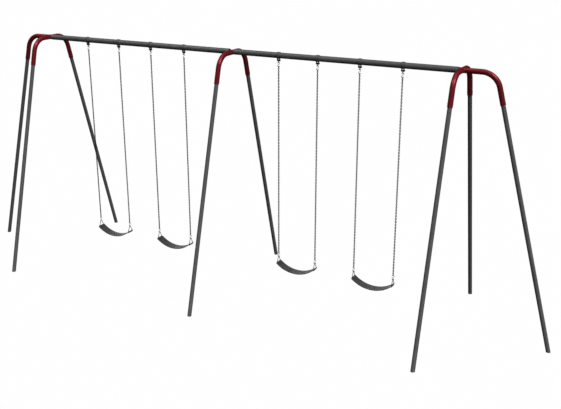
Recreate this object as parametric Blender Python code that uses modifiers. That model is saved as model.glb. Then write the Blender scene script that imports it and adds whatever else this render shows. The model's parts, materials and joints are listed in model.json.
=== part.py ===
"""Two-bay playground swing set: four belt swings under a pair of top rails.

Units are metres, +Z is up.  The origin is on the ground under the middle of the
frame, X runs along the top rails and Y runs from the front feet to the back feet.
Left is -X and right is +X.

Each end of the frame is a tripod: a bent yoke whose three arms sleeve over three
straight legs.  The middle is an A-frame whose bent yoke passes between the two
rails.  Stubs on the yokes enter the rail ends.  Every swing hangs from two clamps;
each clamp's ears hold a pivot bolt, the bolt carries a pendulum, and below it hang
a hook, the chain, a second hook, a triangular shackle and the belt seat.
"""

import math

import bmesh
import bpy
from mathutils import Matrix, Vector

# ---------------------------------------------------------------- frame dimensions

RAIL_Z = 3.660            # height of the top rails' axis above the ground
HUB_X = 3.437             # end yoke's hub, from the middle of the frame
MIDDLE_X = 0.026          # middle yoke's hub, a little towards +X
RAIL_OD = 0.0825
RAIL_WALL = 0.0036
RAIL_GAP_END = 0.048      # rail end to an end yoke's hub plane
RAIL_GAP_MID = 0.0385     # rail end to the middle yoke's hub plane

YOKE_OD = 0.0730
YOKE_WALL = 0.0040
BEND_R = 0.250            # centreline radius of every yoke bend
STUB_LEN = 0.200          # hub to the end of the stub inside a rail
BRANCH_LESS = 0.0002      # branch's outer radius is this much under the arch's
BRANCH_BORE_LESS = 0.0003  # and its bore radius this much under the arch's bore
BORE_PAST = 0.01          # bore cutters run this far past the tube ends

LEG_OD = 0.0603
LEG_WALL = 0.0039
LEG_IN_SLEEVE = 0.150     # length of a leg inside its sleeve
LEG_PAST_GROUND = 0.03    # drop below ground before the leg is cut level
GROUND_BLOCK = 0.3        # side of the cube that cuts a leg level

# Each arm: distance from the hub to the corner where the leg's line meets the
# rail axis, tangent of the leg's lean, and drop from the rail axis to the
# sleeve's end.
ARM_END = (0.3443, 0.2692, 0.3980)    # front and back arms of the end yokes
ARM_OUT = (0.4446, 0.2702, 0.3990)    # outward arm of the end yokes
ARM_MID = (0.3340, 0.2756, 0.4040)    # front and back arms of the middle yoke
MID_ARCH_SINK = 0.010     # the middle arch runs a little below the rails' axis

# ---------------------------------------------------------------- swing dimensions

SWING_X = (-2.349, -1.127, 1.097, 2.338)   # middle of each swing
HANG_HALF = 0.3055        # half the distance between a swing's two hangers
SIDES = (("left", -HANG_HALF), ("right", HANG_HALF))

BAND_R = 0.0480           # outside of the clamp's band
BAND_BORE_R = 0.0422
BAND_LEN = 0.044
PIVOT_DROP = 0.068        # rail axis to pivot bolt
EAR_R = 0.017
EAR_NECK = 0.0125         # half width of an ear above its round end
EAR_TOP = 0.030           # top of the ears above the pivot, inside the band
EAR_IN, EAR_OUT = 0.011, 0.019   # an ear's two faces, from the clamp's middle

BOLT_R = 0.006
BOLT_HOLE_R = 0.0068
BOLT_TAIL = 0.0125        # shaft beyond the ear on the nut's side
BOLT_HEAD_SHAFT = 0.004   # shaft beyond the ear on the head's side
HEX_R = 0.0104            # corner radius of head and nut
HEAD_REACH = 0.0075       # outer face of the head, from the ear
NUT_REACH = 0.0095        # outer face of the nut, from the ear
HEX_GAP = 0.0004          # ear to the near face of head or nut

BARREL_R = 0.011
BARREL_LEN = 0.020
EYE_DROP = 0.0300         # pivot bolt to the pendulum's lower eye
EYE_R = 0.0122
EYE_HOLE_R = 0.0072
EYE_ARC_START = 0.25      # radians above level where the eye's arc starts
SHANK_HALF = 0.0085       # half width of the shank at the barrel's axis
PENDULUM_T = 0.008

HOOK_R = 0.01550          # a quarter of an S-hook's centreline height
HOOK_LOOP_W, HOOK_LOOP_H = 0.0170, 0.0125   # half width and half height of its loops
HOOK_ANGLES = (8, 30, 70, 110, 150, 190, 222)   # degrees, corners of the upper loop
HOOK_STEP = 40            # degrees between the loop's regular corners
HOOK_WIRE_R = 0.004
HOOK_TOP_DROP = 0.0319    # pivot bolt to the top of the upper hook's centreline
CHAIN_R = 0.0078          # solid rod with the chain's mass per metre
CHAIN_IN_LOWER = 0.006    # rod end below the top of the lower hook's centreline
CHAIN_IN_UPPER = 0.0065   # rod end above the bottom of the upper hook's centreline
CHAIN_SPIN = 0.1          # radians the rod's facets are turned about its axis
SEAT_AXIS_Z = 0.596       # bottom of the lower hook, where the shackle turns

SHACKLE_WIRE_R = 0.0048
SHACKLE_TOP_R = 0.0098
SHACKLE_HALF_ANGLE = math.radians(26.0)
SHACKLE_DROP = 0.1037     # hinge line to the base bar
SHACKLE_CORNER_R = 0.010

BELT_R = 0.470            # radius of the hanging belt's arc
BELT_LOW_Z = 0.395        # middle of the belt's thickness at its lowest point
BELT_HALF_ARC = math.radians(41.9)
BELT_W = 0.156
BELT_END_SCALE = 0.92     # width of the belt's two ends, as a share of its width
BELT_T = 0.012
BELT_HOLE_R = 0.0060      # round each shackle leg

PIVOT_Z = RAIL_Z - PIVOT_DROP
HINGE_DROP = SEAT_AXIS_Z - PIVOT_Z   # hinge line's height relative to the pivot

# ---------------------------------------------------------------- mesh resolution

TUBE_SIDES = 24           # rails and legs
YOKE_SIDES = 18
YOKE_BORE_SIDES = 12
BEND_STEPS = 5
BAND_SIDES = 20
BARREL_SIDES = 12
BOLT_SIDES = 10           # the bolt and every small hole
CHAIN_SIDES = 8
WIRE_SIDES = 6            # hooks, shackles and the belt's holes
EAR_STEPS = 8
EYE_STEPS = 7
SHACKLE_STEPS = 4
BELT_SEGMENTS = 14
WELD_DISTANCE = 0.00001
SMOOTH_ANGLE = math.radians(40)

# ---------------------------------------------------------------- scene and materials

for old in list(bpy.data.objects):
    bpy.data.objects.remove(old, do_unlink=True)

parts = bpy.data.collections.new("swing_set")
cutters = bpy.data.collections.new("swing_set_cutters")
bpy.context.scene.collection.children.link(parts)
bpy.context.scene.collection.children.link(cutters)


def make_material(name, colour, roughness, metallic):
    mat = bpy.data.materials.new(name)
    mat.use_nodes = True
    bsdf = mat.node_tree.nodes["Principled BSDF"]
    bsdf.inputs["Base Color"].default_value = (*colour, 1.0)
    bsdf.inputs["Roughness"].default_value = roughness
    bsdf.inputs["Metallic"].default_value = metallic
    mat.diffuse_color = (*colour, 1.0)
    return mat


GREY_PAINT = make_material("grey_paint", colour=(0.085, 0.087, 0.090), roughness=0.42, metallic=0.0)
RED_PAINT = make_material("red_paint", colour=(0.300, 0.010, 0.018), roughness=0.35, metallic=0.0)
CAST = make_material("cast_hanger", colour=(0.050, 0.050, 0.052), roughness=0.55, metallic=0.8)
ZINC = make_material("zinc", colour=(0.780, 0.780, 0.770), roughness=0.30, metallic=1.0)
CHAIN = make_material("galvanised_chain", colour=(0.330, 0.330, 0.335), roughness=0.45, metallic=0.9)
RUBBER = make_material("belt_rubber", colour=(0.030, 0.030, 0.032), roughness=0.62, metallic=0.0)

# ---------------------------------------------------------------- object helpers


def add_object(name, data, collection=parts):
    ob = bpy.data.objects.new(name, data)
    collection.objects.link(ob)
    return ob


def place(name, data, parent, location):
    ob = add_object(name, data)
    ob.parent = parent
    ob.location = location
    return ob


def add_wall(ob, thickness, offset, name="wall"):
    wall = ob.modifiers.new(name, 'SOLIDIFY')
    wall.thickness = thickness
    wall.offset = offset


def boolean(ob, mesh, operation, name):
    """Join or cut ob with a mesh held by a hidden cutter object."""
    cutter = add_object(name, mesh, cutters)
    cutter.hide_render = True
    cutter.display_type = 'WIRE'
    mod = ob.modifiers.new(name, 'BOOLEAN')
    mod.operation = operation
    mod.solver = 'EXACT'
    mod.object = cutter


def evaluated_mesh(ob):
    bpy.context.view_layer.update()
    depsgraph = bpy.context.evaluated_depsgraph_get()
    return bpy.data.meshes.new_from_object(ob.evaluated_get(depsgraph))


def baked(ob):
    """The object's evaluated mesh, with the prototype and its cutters removed."""
    mesh = evaluated_mesh(ob)
    mesh.name = ob.name
    used = [mod.object for mod in ob.modifiers if mod.type == 'BOOLEAN']
    for done in [ob, *used]:
        bpy.data.objects.remove(done, do_unlink=True)
    weld(mesh)
    return mesh


def finish(mesh, material):
    """Give a mesh its material and smooth shading."""
    mesh.materials.clear()
    mesh.materials.append(material)
    mesh.shade_smooth()
    mesh.set_sharp_from_angle(angle=SMOOTH_ANGLE)


# ---------------------------------------------------------------- mesh helpers


def bmesh_to_mesh(bm, name):
    mesh = bpy.data.meshes.new(name)
    bm.to_mesh(mesh)
    bm.free()
    return mesh


def weld(mesh, face_outwards=False):
    bm = bmesh.new()
    bm.from_mesh(mesh)
    bmesh.ops.remove_doubles(bm, verts=bm.verts, dist=WELD_DISTANCE)
    if face_outwards:
        bmesh.ops.recalc_face_normals(bm, faces=bm.faces)
    bm.to_mesh(mesh)
    bm.free()


def filleted(corners, radii, steps, closed=False):
    """Points along a polyline whose corners are rounded, each to its own radius."""
    pts = []
    count = len(corners)
    for i, (corner, radius) in enumerate(zip(corners, radii)):
        corner = Vector(corner)
        if not closed and i in (0, count - 1):
            pts.append(corner)
            continue
        back = (Vector(corners[i - 1]) - corner).normalized()
        ahead = (Vector(corners[(i + 1) % count]) - corner).normalized()
        half = back.angle(ahead) / 2
        tangent = radius / math.tan(half)
        centre = corner + (back + ahead).normalized() * (radius / math.sin(half))
        start = corner + back * tangent - centre
        axis = start.cross(corner + ahead * tangent - centre).normalized()
        turn = math.pi - 2 * half
        for k in range(steps + 1):
            pts.append(centre + Matrix.Rotation(turn * k / steps, 3, axis) @ start)
    return pts


def poly_curve(name, dimensions, pts, closed):
    curve = bpy.data.curves.new(name, 'CURVE')
    curve.dimensions = dimensions
    spline = curve.splines.new('POLY')
    spline.points.add(len(pts) - 1)
    for point, co in zip(spline.points, pts):
        point.co = (*co, 1.0)
    spline.use_cyclic_u = closed
    return curve


def curve_mesh(curve, name, matrix=Matrix()):
    """Turn a curve into a closed mesh with its caps welded on."""
    temp = add_object(name + "_curve", curve)
    temp.matrix_world = matrix
    mesh = evaluated_mesh(temp)
    mesh.transform(temp.matrix_world)
    bpy.data.objects.remove(temp, do_unlink=True)
    bpy.data.curves.remove(curve)
    weld(mesh, face_outwards=True)
    mesh.name = name
    return mesh


def rod_mesh(name, pts, radius, sides, closed=False):
    """A round rod swept along points; sides is an even number."""
    curve = poly_curve(name, '3D', pts, closed)
    curve.twist_mode = 'MINIMUM'
    curve.bevel_depth = radius
    curve.bevel_resolution = (sides - 4) // 2
    curve.use_fill_caps = not closed
    return curve_mesh(curve, name)


def plate_mesh(name, outline, thickness):
    """A flat plate whose outline is in the YZ plane and whose thickness is X."""
    curve = poly_curve(name, '2D', [(y, z, 0.0) for y, z in outline], closed=True)
    curve.fill_mode = 'BOTH'
    curve.extrude = thickness / 2
    turn = Matrix(((0, 0, 1, 0), (1, 0, 0, 0), (0, 1, 0, 0), (0, 0, 0, 1)))
    return curve_mesh(curve, name, turn)


def round_ended(half_width, top, radius, centre_z, arc_start, steps):
    """YZ outline of a plate with a flat top and a round lower end."""
    sweep = math.pi + 2 * arc_start
    angles = [arc_start - sweep * k / steps for k in range(steps + 1)]
    arc = [(radius * math.cos(a), centre_z + radius * math.sin(a)) for a in angles]
    return [(half_width, top), *arc, (-half_width, top)]


def cylinder_mesh(name, radius, start, end, sides, spin=0.0):
    """A closed cylinder between two points."""
    start, end = Vector(start), Vector(end)
    direction = end - start
    bm = bmesh.new()
    bmesh.ops.create_cone(bm, cap_ends=True, cap_tris=False, segments=sides,
                          radius1=radius, radius2=radius, depth=direction.length)
    turn = direction.to_track_quat('Z', 'Y').to_matrix().to_4x4()
    bm.transform(Matrix.Translation((start + end) / 2) @ turn @ Matrix.Rotation(spin, 4, 'Z'))
    return bmesh_to_mesh(bm, name)


def x_cylinder(name, radius, x0, x1, sides, z=0.0):
    """A closed cylinder along X, in the plane y = 0."""
    return cylinder_mesh(name, radius, (x0, 0, z), (x1, 0, z), sides)


def tube(name, diameter, wall, length, turn=Matrix()):
    """An open-ended straight tube along Z, or as turned, centred on its origin."""
    bm = bmesh.new()
    bmesh.ops.create_cone(bm, cap_ends=False, segments=TUBE_SIDES, radius1=diameter / 2,
                          radius2=diameter / 2, depth=length)
    bm.transform(turn)
    bmesh.ops.recalc_face_normals(bm, faces=bm.faces)
    ob = add_object(name, bmesh_to_mesh(bm, name))
    add_wall(ob, wall, offset=-1)
    return ob


# ---------------------------------------------------------------- top rails


def rail(name, x0, x1):
    ob = tube(name, RAIL_OD, RAIL_WALL, x1 - x0, Matrix.Rotation(math.pi / 2, 4, 'Y'))
    ob.location = ((x0 + x1) / 2, 0, RAIL_Z)
    finish(ob.data, GREY_PAINT)


# ---------------------------------------------------------------- yokes


def bent_tube(name, corners, radius, sides):
    return rod_mesh(name, filleted(corners, [BEND_R] * len(corners), BEND_STEPS), radius, sides)


def arch_corners(x, arm, sink, past=0.0):
    """Corner points of the front-to-back arch, lengthened by past at each end.

    sink lowers the flat top and leaves both arms on their lines.
    """
    reach, lean, drop = arm
    end_y, end_z = reach + lean * (drop + past), RAIL_Z - drop - past
    top_y, top_z = reach + lean * sink, RAIL_Z - sink
    return [(x, -end_y, end_z), (x, -top_y, top_z), (x, top_y, top_z), (x, end_y, end_z)]


def outer_corners(side, past=0.0):
    """Corner points of the outward arm and the stub that it runs on into."""
    reach, lean, drop = ARM_OUT
    drop = drop + past
    return [(side * (HUB_X + reach + lean * drop), 0, RAIL_Z - drop),
            (side * (HUB_X + reach), 0, RAIL_Z),
            (side * (HUB_X - STUB_LEN - past), 0, RAIL_Z)]


def yoke(name, arch, branch, branch_mesh):
    """A hollow arch joined by a hollow branch.

    arch is (x, arm, sink); branch_mesh(radius, sides, past) makes the branch's rod.
    """
    outer_r = YOKE_OD / 2
    bore_r = outer_r - YOKE_WALL
    ob = add_object(name, bent_tube(name, arch_corners(*arch), outer_r, YOKE_SIDES))
    boolean(ob, branch_mesh(outer_r - BRANCH_LESS, YOKE_SIDES, 0.0),
            'UNION', f"{name}_join_{branch}")
    boolean(ob, bent_tube(name + "_bore", arch_corners(*arch, BORE_PAST), bore_r, YOKE_BORE_SIDES),
            'DIFFERENCE', name + "_cut_arch_bore")
    boolean(ob, branch_mesh(bore_r - BRANCH_BORE_LESS, YOKE_BORE_SIDES, BORE_PAST),
            'DIFFERENCE', f"{name}_cut_{branch}_bore")
    finish(ob.data, RED_PAINT)


def end_yoke(name, side):
    def outward_arm(radius, sides, past):
        return bent_tube(name + "_arm", outer_corners(side, past), radius, sides)

    yoke(name, (side * HUB_X, ARM_END, 0.0), "arm", outward_arm)


def middle_yoke(name):
    def double_stub(radius, sides, past):
        return x_cylinder(name + "_stub", radius, MIDDLE_X - STUB_LEN - past,
                          MIDDLE_X + STUB_LEN + past, sides, RAIL_Z)

    yoke(name, (MIDDLE_X, ARM_MID, MID_ARCH_SINK), "stub", double_stub)


# ---------------------------------------------------------------- legs


def leg(name, x, arm, direction):
    """A straight tube from the ground up into a sleeve.

    direction is the unit vector, in plan, in which the leg leans outwards.
    """
    reach, lean, sleeve_drop = arm
    out = Vector((*direction, 0.0))
    hub = Vector((x, 0.0, RAIL_Z))

    def axis_point(drop):
        return hub + out * (reach + lean * drop) - Vector((0, 0, drop))

    top = axis_point(sleeve_drop - LEG_IN_SLEEVE / math.hypot(1.0, lean))
    low = axis_point(RAIL_Z + LEG_PAST_GROUND)
    ob = tube(name, LEG_OD, LEG_WALL, (top - low).length)
    ob.location = (top + low) / 2
    ob.rotation_euler = (top - low).to_track_quat('Z', 'Y').to_euler()

    foot = axis_point(RAIL_Z)
    bm = bmesh.new()
    bmesh.ops.create_cube(bm, size=GROUND_BLOCK)
    bm.transform(Matrix.Translation((foot.x, foot.y, -GROUND_BLOCK / 2)))
    boolean(ob, bmesh_to_mesh(bm, name + "_ground"), 'DIFFERENCE', name + "_cut_at_ground")
    finish(ob.data, GREY_PAINT)


# ---------------------------------------------------------------- hanger pieces


def clamp_mesh():
    """Band round the rail with two ears below it; the origin is on the pivot."""
    ob = add_object("clamp", x_cylinder("clamp", BAND_R, -BAND_LEN / 2, BAND_LEN / 2,
                                        BAND_SIDES, PIVOT_DROP))
    outline = round_ended(EAR_NECK, EAR_TOP, EAR_R, 0.0, math.acos(EAR_NECK / EAR_R), EAR_STEPS)
    for side in (-1, 1):
        ear = plate_mesh("ear", outline, EAR_OUT - EAR_IN)
        ear.transform(Matrix.Translation((side * (EAR_IN + EAR_OUT) / 2, 0, 0)))
        boolean(ob, ear, 'UNION', f"ear_{side}")
    boolean(ob, x_cylinder("bore", BAND_BORE_R, -0.04, 0.04, BAND_SIDES, PIVOT_DROP),
            'DIFFERENCE', "rail_bore")
    boolean(ob, x_cylinder("bolt_hole", BOLT_HOLE_R, -0.03, 0.03, BOLT_SIDES),
            'DIFFERENCE', "bolt_hole")
    return baked(ob)


def bolt_mesh():
    """Hexagon bolt through both ears with its nut run up, along X."""
    ob = add_object("pivot_bolt", x_cylinder("pivot_bolt", BOLT_R, -EAR_OUT - BOLT_HEAD_SHAFT,
                                             EAR_OUT + BOLT_TAIL, BOLT_SIDES))
    for name, x0, x1 in (("head", -EAR_OUT - HEAD_REACH, -EAR_OUT - HEX_GAP),
                         ("nut", EAR_OUT + HEX_GAP, EAR_OUT + NUT_REACH)):
        boolean(ob, x_cylinder(name, HEX_R, x0, x1, 6), 'UNION', name)
    return baked(ob)


def pendulum_mesh():
    """Barrel on the pivot bolt with a flat shank and a lower eye."""
    ob = add_object("pendulum", x_cylinder("pendulum", BARREL_R, -BARREL_LEN / 2,
                                           BARREL_LEN / 2, BARREL_SIDES))
    outline = round_ended(SHANK_HALF, 0.0, EYE_R, -EYE_DROP, EYE_ARC_START, EYE_STEPS)
    boolean(ob, plate_mesh("shank", outline, PENDULUM_T), 'UNION', "shank")
    for name, radius, z in (("bolt_bore", BOLT_HOLE_R, 0.0), ("eye_hole", EYE_HOLE_R, -EYE_DROP)):
        boolean(ob, x_cylinder(name, radius, -0.02, 0.02, BOLT_SIDES, z), 'DIFFERENCE', name)
    return baked(ob)


def hook_points(z):
    """Centreline of an S-hook in the XZ plane, centred at height z.

    The loops' corners stand on a slightly larger ellipse, so that the flat at the
    top and the bottom of the hook lies at the true height. The two loops are open
    and joined by a slanting stroke.
    """
    enlarge = 1 / math.cos(math.radians(HOOK_STEP / 2))
    loop_z = z + 2 * HOOK_R - HOOK_LOOP_H
    upper = [Vector((-enlarge * HOOK_LOOP_W * math.cos(math.radians(a)), 0,
                     loop_z + enlarge * HOOK_LOOP_H * math.sin(math.radians(a))))
             for a in HOOK_ANGLES]
    lower = [Vector((-p.x, 0, 2 * z - p.z)) for p in reversed(upper)]
    return upper + [Vector((0, 0, z))] + lower


def chain_mesh():
    """The two S-hooks and the rod for the chain between them; the origin is on the pivot."""
    rod_low = HINGE_DROP + 4 * HOOK_R - CHAIN_IN_LOWER
    rod_top = -HOOK_TOP_DROP - 4 * HOOK_R + CHAIN_IN_UPPER
    ob = add_object("chain", cylinder_mesh("chain", CHAIN_R, (0, 0, rod_low), (0, 0, rod_top),
                                           CHAIN_SIDES, CHAIN_SPIN))
    for name, z in (("upper_hook", -HOOK_TOP_DROP - 2 * HOOK_R),
                    ("lower_hook", HINGE_DROP + 2 * HOOK_R)):
        boolean(ob, rod_mesh(name, hook_points(z), HOOK_WIRE_R, WIRE_SIDES), 'UNION', name)
    return baked(ob)


def shackle_rod(name, radius):
    """Triangular closed rod in the YZ plane; the origin is on its hinge line."""
    apex = SHACKLE_TOP_R / math.sin(SHACKLE_HALF_ANGLE)
    half = (apex + SHACKLE_DROP) * math.tan(SHACKLE_HALF_ANGLE)
    corners = [(0, 0, apex), (0, half, -SHACKLE_DROP), (0, -half, -SHACKLE_DROP)]
    radii = [SHACKLE_TOP_R, SHACKLE_CORNER_R, SHACKLE_CORNER_R]
    pts = filleted(corners, radii, SHACKLE_STEPS, closed=True)
    return rod_mesh(name, pts, radius, WIRE_SIDES, closed=True)


def belt_mesh():
    """Hanging belt with a hole for each shackle leg; the origin is on the hinge line."""
    bm = bmesh.new()
    bmesh.ops.create_grid(bm, x_segments=BELT_SEGMENTS, y_segments=1, size=1.0)
    # The flat grid spans -1 to 1 both ways; wrap its X round the arc.
    for vert in bm.verts:
        scale = BELT_END_SCALE if abs(vert.co.x) > 0.999 else 1.0
        angle = vert.co.x * BELT_HALF_ARC
        vert.co = (BELT_R * math.sin(angle), vert.co.y * BELT_W / 2 * scale,
                   BELT_LOW_Z + BELT_R * (1 - math.cos(angle)) - SEAT_AXIS_Z)
    bmesh.ops.recalc_face_normals(bm, faces=bm.faces)
    ob = add_object("belt_seat", bmesh_to_mesh(bm, "belt_seat"))
    add_wall(ob, BELT_T, offset=0, name="thickness")
    for side, x in SIDES:
        slot = shackle_rod("leg_slot", BELT_HOLE_R)
        slot.transform(Matrix.Translation((x, 0, 0)))
        boolean(ob, slot, 'DIFFERENCE', "leg_holes_" + side)
    return baked(ob)


# ---------------------------------------------------------------- swings


def swing(number, x, meshes):
    """One swing: fixed clamps and bolts, and the parts that turn on its two axes."""
    pivot = place(f"swing_{number}_axis", None, None, (x, 0, PIVOT_Z))
    hinge = place(f"seat_{number}_axis", None, pivot, (0, 0, HINGE_DROP))
    for empty in (pivot, hinge):
        empty.empty_display_size = 0.05
    for side, dx in SIDES:
        for piece in ("clamp", "pivot_bolt"):
            place(f"{piece}_{number}_{side}", meshes[piece], None, (x + dx, 0, PIVOT_Z))
        for piece, parent in (("pendulum", pivot), ("chain", pivot), ("shackle", hinge)):
            place(f"{piece}_{number}_{side}", meshes[piece], parent, (dx, 0, 0))
    place(f"belt_seat_{number}", meshes["belt_seat"], hinge, (0, 0, 0))


# ---------------------------------------------------------------- build

rail("rail_left", -HUB_X + RAIL_GAP_END, MIDDLE_X - RAIL_GAP_MID)
rail("rail_right", MIDDLE_X + RAIL_GAP_MID, HUB_X - RAIL_GAP_END)

end_yoke("yoke_left", -1)
middle_yoke("yoke_middle")
end_yoke("yoke_right", 1)

for place_name, hub_x, side_arm in (("left", -HUB_X, ARM_END), ("middle", MIDDLE_X, ARM_MID),
                                    ("right", HUB_X, ARM_END)):
    leg(f"leg_{place_name}_front", hub_x, side_arm, (0, -1))
    leg(f"leg_{place_name}_back", hub_x, side_arm, (0, 1))
leg("leg_left_outer", -HUB_X, ARM_OUT, (-1, 0))
leg("leg_right_outer", HUB_X, ARM_OUT, (1, 0))

# Each mesh is made once and shared by all four swings.
swing_meshes = {}
for piece_name, piece_mesh, piece_material in (
        ("clamp", clamp_mesh(), CAST),
        ("pivot_bolt", bolt_mesh(), ZINC),
        ("pendulum", pendulum_mesh(), CAST),
        ("chain", chain_mesh(), CHAIN),
        ("shackle", shackle_rod("shackle", SHACKLE_WIRE_R), ZINC),
        ("belt_seat", belt_mesh(), RUBBER)):
    finish(piece_mesh, piece_material)
    swing_meshes[piece_name] = piece_mesh

for swing_number, swing_x in enumerate(SWING_X, start=1):
    swing(swing_number, swing_x, swing_meshes)

bpy.context.view_layer.update()
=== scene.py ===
# Four-seat belt swing set: two level rails along X, carried by three red yokes on eight
# grey legs. Each seat hangs on two chains from hangers clamped round the rails.
# Left is -X, right is +X, front is -Y, back is +Y, and the ground is z = 0.
import json
import math

import bpy
import bmesh
from mathutils import Matrix, Vector


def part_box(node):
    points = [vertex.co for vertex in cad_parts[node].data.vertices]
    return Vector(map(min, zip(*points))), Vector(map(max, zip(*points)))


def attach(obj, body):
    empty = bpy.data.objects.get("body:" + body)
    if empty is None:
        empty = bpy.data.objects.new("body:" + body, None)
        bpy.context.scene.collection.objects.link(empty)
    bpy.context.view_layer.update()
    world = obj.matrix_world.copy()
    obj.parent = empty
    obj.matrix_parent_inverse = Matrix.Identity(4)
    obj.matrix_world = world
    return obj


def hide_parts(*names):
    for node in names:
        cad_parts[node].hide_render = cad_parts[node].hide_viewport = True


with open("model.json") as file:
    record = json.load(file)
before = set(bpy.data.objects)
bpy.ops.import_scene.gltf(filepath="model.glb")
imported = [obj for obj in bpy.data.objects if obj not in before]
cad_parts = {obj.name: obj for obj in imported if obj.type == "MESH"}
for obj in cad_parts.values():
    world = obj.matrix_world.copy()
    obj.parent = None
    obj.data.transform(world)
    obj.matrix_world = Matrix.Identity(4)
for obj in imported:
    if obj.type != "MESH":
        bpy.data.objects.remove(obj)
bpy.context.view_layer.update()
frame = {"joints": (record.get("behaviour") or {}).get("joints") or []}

scene = bpy.context.scene

# ------------------------------------------------------------------ layout
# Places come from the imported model: node boxes and joint positions.


def centre_x(node):
    lo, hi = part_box(node)
    return (lo.x + hi.x) / 2


rail_lo, rail_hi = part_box("rail_left")
RAIL_Z = (rail_lo.z + rail_hi.z) / 2
RAIL_R = (rail_hi.z - rail_lo.z) / 2
leg_lo, leg_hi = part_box("leg_right_front")
LEG_R = (leg_hi.x - leg_lo.x) / 2
HUB_X = centre_x("leg_right_front")         # the end yokes stand at -HUB_X and HUB_X
MIDDLE_X = centre_x("leg_middle_front")
joints = {j["name"]: j for j in frame["joints"]}
PIVOT_Z = joints["swing_1_pivot"]["pos_m"][2]
SEAT_Z = joints["seat_1_tilt"]["pos_m"][2]

# ------------------------------------------------------------------ materials


def scaled(colour, gain, lift=0.0):
    return tuple(min(1.0, c * gain + lift) for c in colour)


class Nodes:
    """A short way to write a material's node tree."""

    def __init__(self, name):
        self.mat = bpy.data.materials.new(name)
        self.mat.use_nodes = True
        self.tree = self.mat.node_tree
        self.bsdf = self.tree.nodes["Principled BSDF"]
        self.coord = self.new("ShaderNodeTexCoord").outputs["Object"]

    def new(self, kind, **values):
        node = self.tree.nodes.new(kind)
        for key, value in values.items():
            node.inputs[key].default_value = value
        return node

    def link(self, output, socket):
        self.tree.links.new(output, socket)

    def feed(self, socket, value):
        """Links an output to a socket, or sets the socket to a number or an RGB colour."""
        if hasattr(value, "links"):
            self.link(value, socket)
        elif isinstance(value, tuple):
            socket.default_value = (*value, 1.0)
        else:
            socket.default_value = value

    def set(self, name, value):
        self.feed(self.bsdf.inputs[name], value)

    def noise(self, scale, detail=4.0, rough=0.5, vector=None):
        node = self.new("ShaderNodeTexNoise", Scale=scale, Detail=detail, Roughness=rough)
        self.link(vector or self.coord, node.inputs["Vector"])
        return node.outputs["Fac"]

    def mix(self, factor, first, second):
        node = self.new("ShaderNodeMix")
        node.data_type = 'RGBA'
        for index, value in ((0, factor), (6, first), (7, second)):
            self.feed(node.inputs[index], value)
        return node.outputs[2]

    def map(self, value, span, to=(0.0, 1.0)):
        """Maps the range span onto the range to, clamped."""
        node = self.new("ShaderNodeMapRange")
        for i, limit in enumerate((*span, *to), start=1):
            node.inputs[i].default_value = limit
        self.link(value, node.inputs[0])
        return node.outputs[0]

    def math(self, operation, first, second):
        node = self.new("ShaderNodeMath")
        node.operation = operation
        self.feed(node.inputs[0], first)
        self.feed(node.inputs[1], second)
        return node.outputs[0]

    def bump(self, height, strength, distance, normal=None):
        node = self.new("ShaderNodeBump", Strength=strength, Distance=distance)
        self.link(height, node.inputs["Height"])
        if normal is not None:
            self.link(normal, node.inputs["Normal"])
        return node.outputs["Normal"]

    def stretched(self, x, y, z):
        node = self.new("ShaderNodeMapping", Scale=(x, y, z))
        self.link(self.coord, node.inputs["Vector"])
        return node.outputs["Vector"]

    def height(self):
        split = self.new("ShaderNodeSeparateXYZ")
        geometry = self.new("ShaderNodeNewGeometry")
        self.link(geometry.outputs["Position"], split.inputs[0])
        return split.outputs["Z"]

    def pointiness(self):
        return self.new("ShaderNodeNewGeometry").outputs["Pointiness"]


def powder_coat(name, base, lighter, dust, rough, level=0.30, tint=(1.0, 1.0, 1.0),
                coat=0.03, metallic=0.0):
    """Baked powder paint: orange peel, faint cloudiness, pin specks, dust low down."""
    n = Nodes(name)
    cloud = n.noise(scale=2.6, detail=5.0, rough=0.55)
    colour = n.mix(n.map(cloud, span=(0.35, 0.70)), base, lighter)
    speck = n.map(n.noise(scale=520.0, detail=1.0, rough=0.4), span=(0.70, 0.78), to=(0.0, 0.35))
    colour = n.mix(speck, colour, scaled(base, gain=1.8, lift=0.01))
    streak = n.noise(scale=5.0, detail=6.0, rough=0.62, vector=n.stretched(x=9.0, y=9.0, z=0.9))
    # Grime gathers in the streaks and fades out 0.75 m above the ground.
    grime = n.math('MULTIPLY', n.map(n.height(), span=(0.0, 0.75), to=(0.75, 0.0)),
                   n.map(streak, span=(0.42, 0.75)))
    haze = n.math('ADD', n.math('MULTIPLY', grime, 0.42),
                  n.map(streak, span=(0.62, 0.80), to=(0.0, 0.05)))
    colour = n.mix(haze, colour, dust)
    wear = n.map(n.pointiness(), span=(0.56, 0.66), to=(0.0, 0.45))
    colour = n.mix(wear, colour, scaled(base, gain=2.2, lift=0.03))
    n.set("Base Color", colour)
    n.set("Metallic", metallic)
    gloss = n.map(n.noise(scale=9.0), span=(0.3, 0.7), to=(rough - 0.05, rough + 0.08))
    n.set("Roughness", n.math('ADD', gloss, n.math('MULTIPLY', grime, 0.3)))
    n.set("Specular IOR Level", level)
    n.set("Specular Tint", tint)
    n.set("Coat Weight", coat)
    n.set("Coat Roughness", 0.20)
    peel = n.bump(n.noise(scale=330.0, detail=2.0), strength=0.35, distance=0.00035)
    n.set("Normal", n.bump(n.noise(scale=70.0, detail=2.0, rough=0.45),
                           strength=0.12, distance=0.0012, normal=peel))
    return n.mat


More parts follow.
